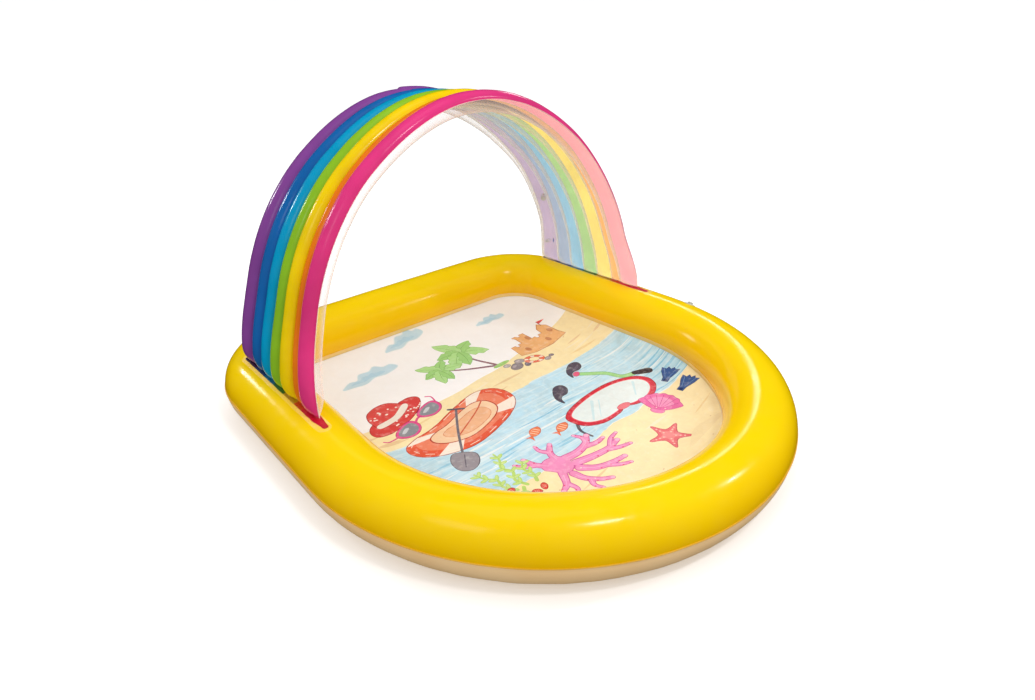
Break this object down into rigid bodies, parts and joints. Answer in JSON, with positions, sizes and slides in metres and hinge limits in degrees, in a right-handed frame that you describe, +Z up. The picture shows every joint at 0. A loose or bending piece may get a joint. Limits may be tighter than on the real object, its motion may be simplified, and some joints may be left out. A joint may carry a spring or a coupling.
{
  "type": "inflatable paddling pool",
  "caption": "Inflatable children's paddling pool: one fat air ring, a printed floor, a straight back, a round front and a leaning banded air arch with valves and hose inlet.",
  "frame": {"origin": "centre of the pool's outline on the ground, at the bottom of the air ring", "axes": "+Z up, +Y towards the straight back wall, -Y towards the round front, +X towards the side with the valves and the hose inlet"},
  "size_m": [1.344, 1.448, 0.8406],
  "materials": {
    "ring_vinyl": "inflated glossy vinyl, smooth",
    "base_vinyl": "matt-gloss cream vinyl",
    "seam_vinyl": "welded vinyl seam",
    "floor_print": "printed vinyl sheet with a beach picture",
    "purple_vinyl": "glossy printed vinyl",
    "blue_vinyl": "glossy printed vinyl",
    "cyan_vinyl": "glossy printed vinyl",
    "green_vinyl": "glossy printed vinyl",
    "yellow_vinyl": "glossy printed vinyl",
    "orange_vinyl": "glossy printed vinyl",
    "pink_vinyl": "glossy printed vinyl",
    "clear_vinyl": "clear vinyl, slightly milky",
    "foot_weld_vinyl": "flat weld with the band colours pressed dark",
    "fitting_plastic": "moulded plastic",
    "nut_plastic": "moulded plastic with grip ribs",
    "washer_rubber": "matt",
    "valve_vinyl": "soft translucent white vinyl"
  },
  "bodies": {
    "pool": {"ring_upper_skin": "ring_vinyl", "ring_base_skin": "base_vinyl", "outer_seam_lip": "seam_vinyl", "floor_sheet": "floor_print", "floor_weld_lip": "seam_vinyl", "band_purple": "purple_vinyl", "band_blue": "blue_vinyl", "band_cyan": "cyan_vinyl", "band_green": "green_vinyl", "band_yellow": "yellow_vinyl", "band_orange": "orange_vinyl", "band_pink": "pink_vinyl", "arch_inner_skin": "clear_vinyl", "arch_weld_ribs": "clear_vinyl", "edge_strip_front": "clear_vinyl", "edge_strip_rear": "clear_vinyl", "foot_tab_left": "clear_vinyl", "foot_tab_right": "clear_vinyl", "foot_weld_left": "foot_weld_vinyl", "foot_weld_right": "foot_weld_vinyl", "spray_channel": "clear_vinyl", "spray_nozzles": "fitting_plastic", "hose_inlet": "fitting_plastic", "ring_valve_flange": "ring_vinyl", "arch_valve_flange": "purple_vinyl"},
    "ring_stem": {"ring_valve_stem": "valve_vinyl"},
    "ring_plug": {"ring_valve_plug": "valve_vinyl", "ring_valve_strap": "valve_vinyl"},
    "ring_flap": {"ring_valve_flap": "valve_vinyl"},
    "arch_stem": {"arch_valve_stem": "valve_vinyl"},
    "arch_plug": {"arch_valve_plug": "valve_vinyl", "arch_valve_strap": "valve_vinyl"},
    "arch_flap": {"arch_valve_flap": "valve_vinyl"},
    "hose_nut_body": {"hose_nut": "nut_plastic", "hose_washer": "washer_rubber"}
  },
  "joints": [
    {"name": "ring_valve_stem_slide", "type": "slide", "parent": "pool", "child": "ring_stem", "axis": [0.4683, -0.0327, 0.8829], "range_m": [0, 0.013]},
    {"name": "ring_valve_plug_pull", "type": "slide", "parent": "ring_stem", "child": "ring_plug", "axis": [0.4683, -0.0327, 0.8829], "range_m": [0, 0.012]},
    {"name": "ring_valve_flap_swing", "type": "hinge", "parent": "ring_stem", "child": "ring_flap", "pos_m": [0.60478, -0.09429, 0.1503], "axis": [0.0698, 0.9976, 0], "range_deg": [0, 60], "stiffness_Nm_per_rad": 0.002},
    {"name": "arch_valve_stem_slide", "type": "slide", "parent": "pool", "child": "arch_stem", "axis": [0.7698, 0.5982, 0.2229], "range_m": [0, 0.013]},
    {"name": "arch_valve_plug_pull", "type": "slide", "parent": "arch_stem", "child": "arch_plug", "axis": [0.7698, 0.5982, 0.2229], "range_m": [0, 0.012]},
    {"name": "arch_valve_flap_swing", "type": "hinge", "parent": "arch_stem", "child": "arch_flap", "pos_m": [0.5234, 0.47541, 0.40771], "axis": [-0.539, 0.7961, -0.2752], "range_deg": [0, 60], "stiffness_Nm_per_rad": 0.002},
    {"name": "hose_nut_spin", "type": "hinge", "parent": "pool", "child": "hose_nut_body", "pos_m": [0.59146, 0.49017, 0.23908], "axis": [0.9962, 0.0085, 0.0867], "continuous": true}
  ]
}
